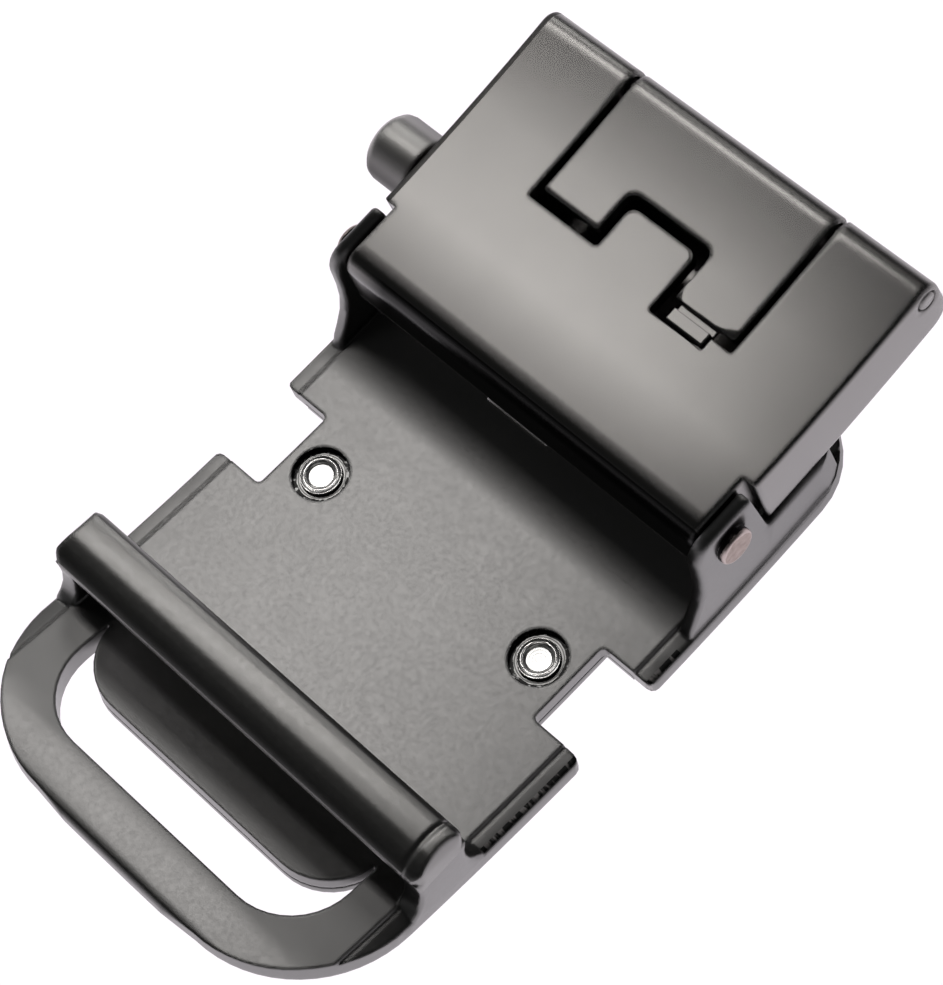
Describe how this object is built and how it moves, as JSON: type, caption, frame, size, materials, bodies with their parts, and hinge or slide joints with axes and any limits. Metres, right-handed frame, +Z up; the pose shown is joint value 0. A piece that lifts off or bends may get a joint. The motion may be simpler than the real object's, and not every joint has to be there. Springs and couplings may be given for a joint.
{
  "type": "ratchet belt buckle",
  "caption": "Ratchet belt buckle lying face down: curved plate with a D loop and a cross bar, pivoting clamp box with a flip-up door, spring pawl and side release button.",
  "frame": {"origin": "centre of the bounding box on the surface that the buckle's front face lies on", "axes": "+X along the strap from the D loop to the clamp end, +Y across the strap to the release button side, +Z up out of the buckle's back"},
  "size_m": [0.0728, 0.0456, 0.0153],
  "materials": {
    "black_coat": "satin black coating on cast metal",
    "peened_pin": "peened bronze end, coating worn off",
    "bright_rivet": "bright rolled steel"
  },
  "bodies": {
    "frame": {"back_frame": "black_coat", "front_plate": "black_coat", "rivet_far": "bright_rivet", "rivet_near": "bright_rivet", "ear_pin_near": "peened_pin", "ear_pin_far": "peened_pin"},
    "housing": {"clamp_housing": "black_coat", "hinge_pin": "black_coat"},
    "door": {"clamp_door": "black_coat"},
    "pawl": {"ratchet_pawl": "black_coat"}
  },
  "joints": [
    {"name": "housing_pivot", "type": "hinge", "parent": "frame", "child": "housing", "pos_m": [0.01175, -0.00192, 0.01027], "axis": [0, -1, 0], "range_deg": [0, 12]},
    {"name": "door_hinge", "type": "hinge", "parent": "housing", "child": "door", "pos_m": [0.03446, -0.00192, 0.01381], "axis": [0, 1, 0], "range_deg": [0, 110]},
    {"name": "pawl_release", "type": "hinge", "parent": "housing", "child": "pawl", "pos_m": [0.01481, -0.00192, 0.0087], "axis": [0, 1, 0], "range_deg": [0, 6], "stiffness_Nm_per_rad": 0.01, "springref_deg": -11.46}
  ]
}
